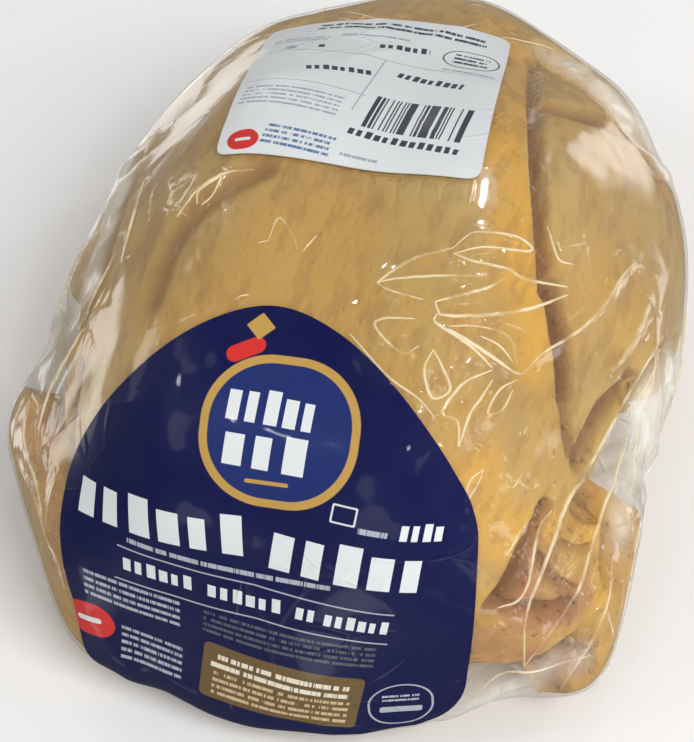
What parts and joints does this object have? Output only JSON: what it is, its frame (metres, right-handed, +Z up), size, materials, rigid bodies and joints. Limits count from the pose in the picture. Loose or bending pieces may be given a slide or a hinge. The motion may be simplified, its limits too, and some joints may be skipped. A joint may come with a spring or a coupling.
{
  "type": "whole raw chicken in a clear bag",
  "caption": "Whole raw yellow-skinned chicken lying breast up in a clear sealed bag, with an arched dark blue label and a white weight label.",
  "frame": {"origin": "on the surface it lies on, under the middle of the bag's box", "axes": "+Z up, through the breast; -Y towards the neck end and +Y towards the tail end; +X towards the bird's right side"},
  "size_m": [0.1606, 0.2118, 0.1113],
  "materials": {
    "skin": "moist yellow poultry skin",
    "film": "clear, creased, glossy",
    "printed_label": "glossy printed film",
    "paper_label": "smooth coated paper"
  },
  "bodies": {
    "root": {"bag": "skin", "front_label": "printed_label", "weight_label": "paper_label"}
  },
  "joints": []
}
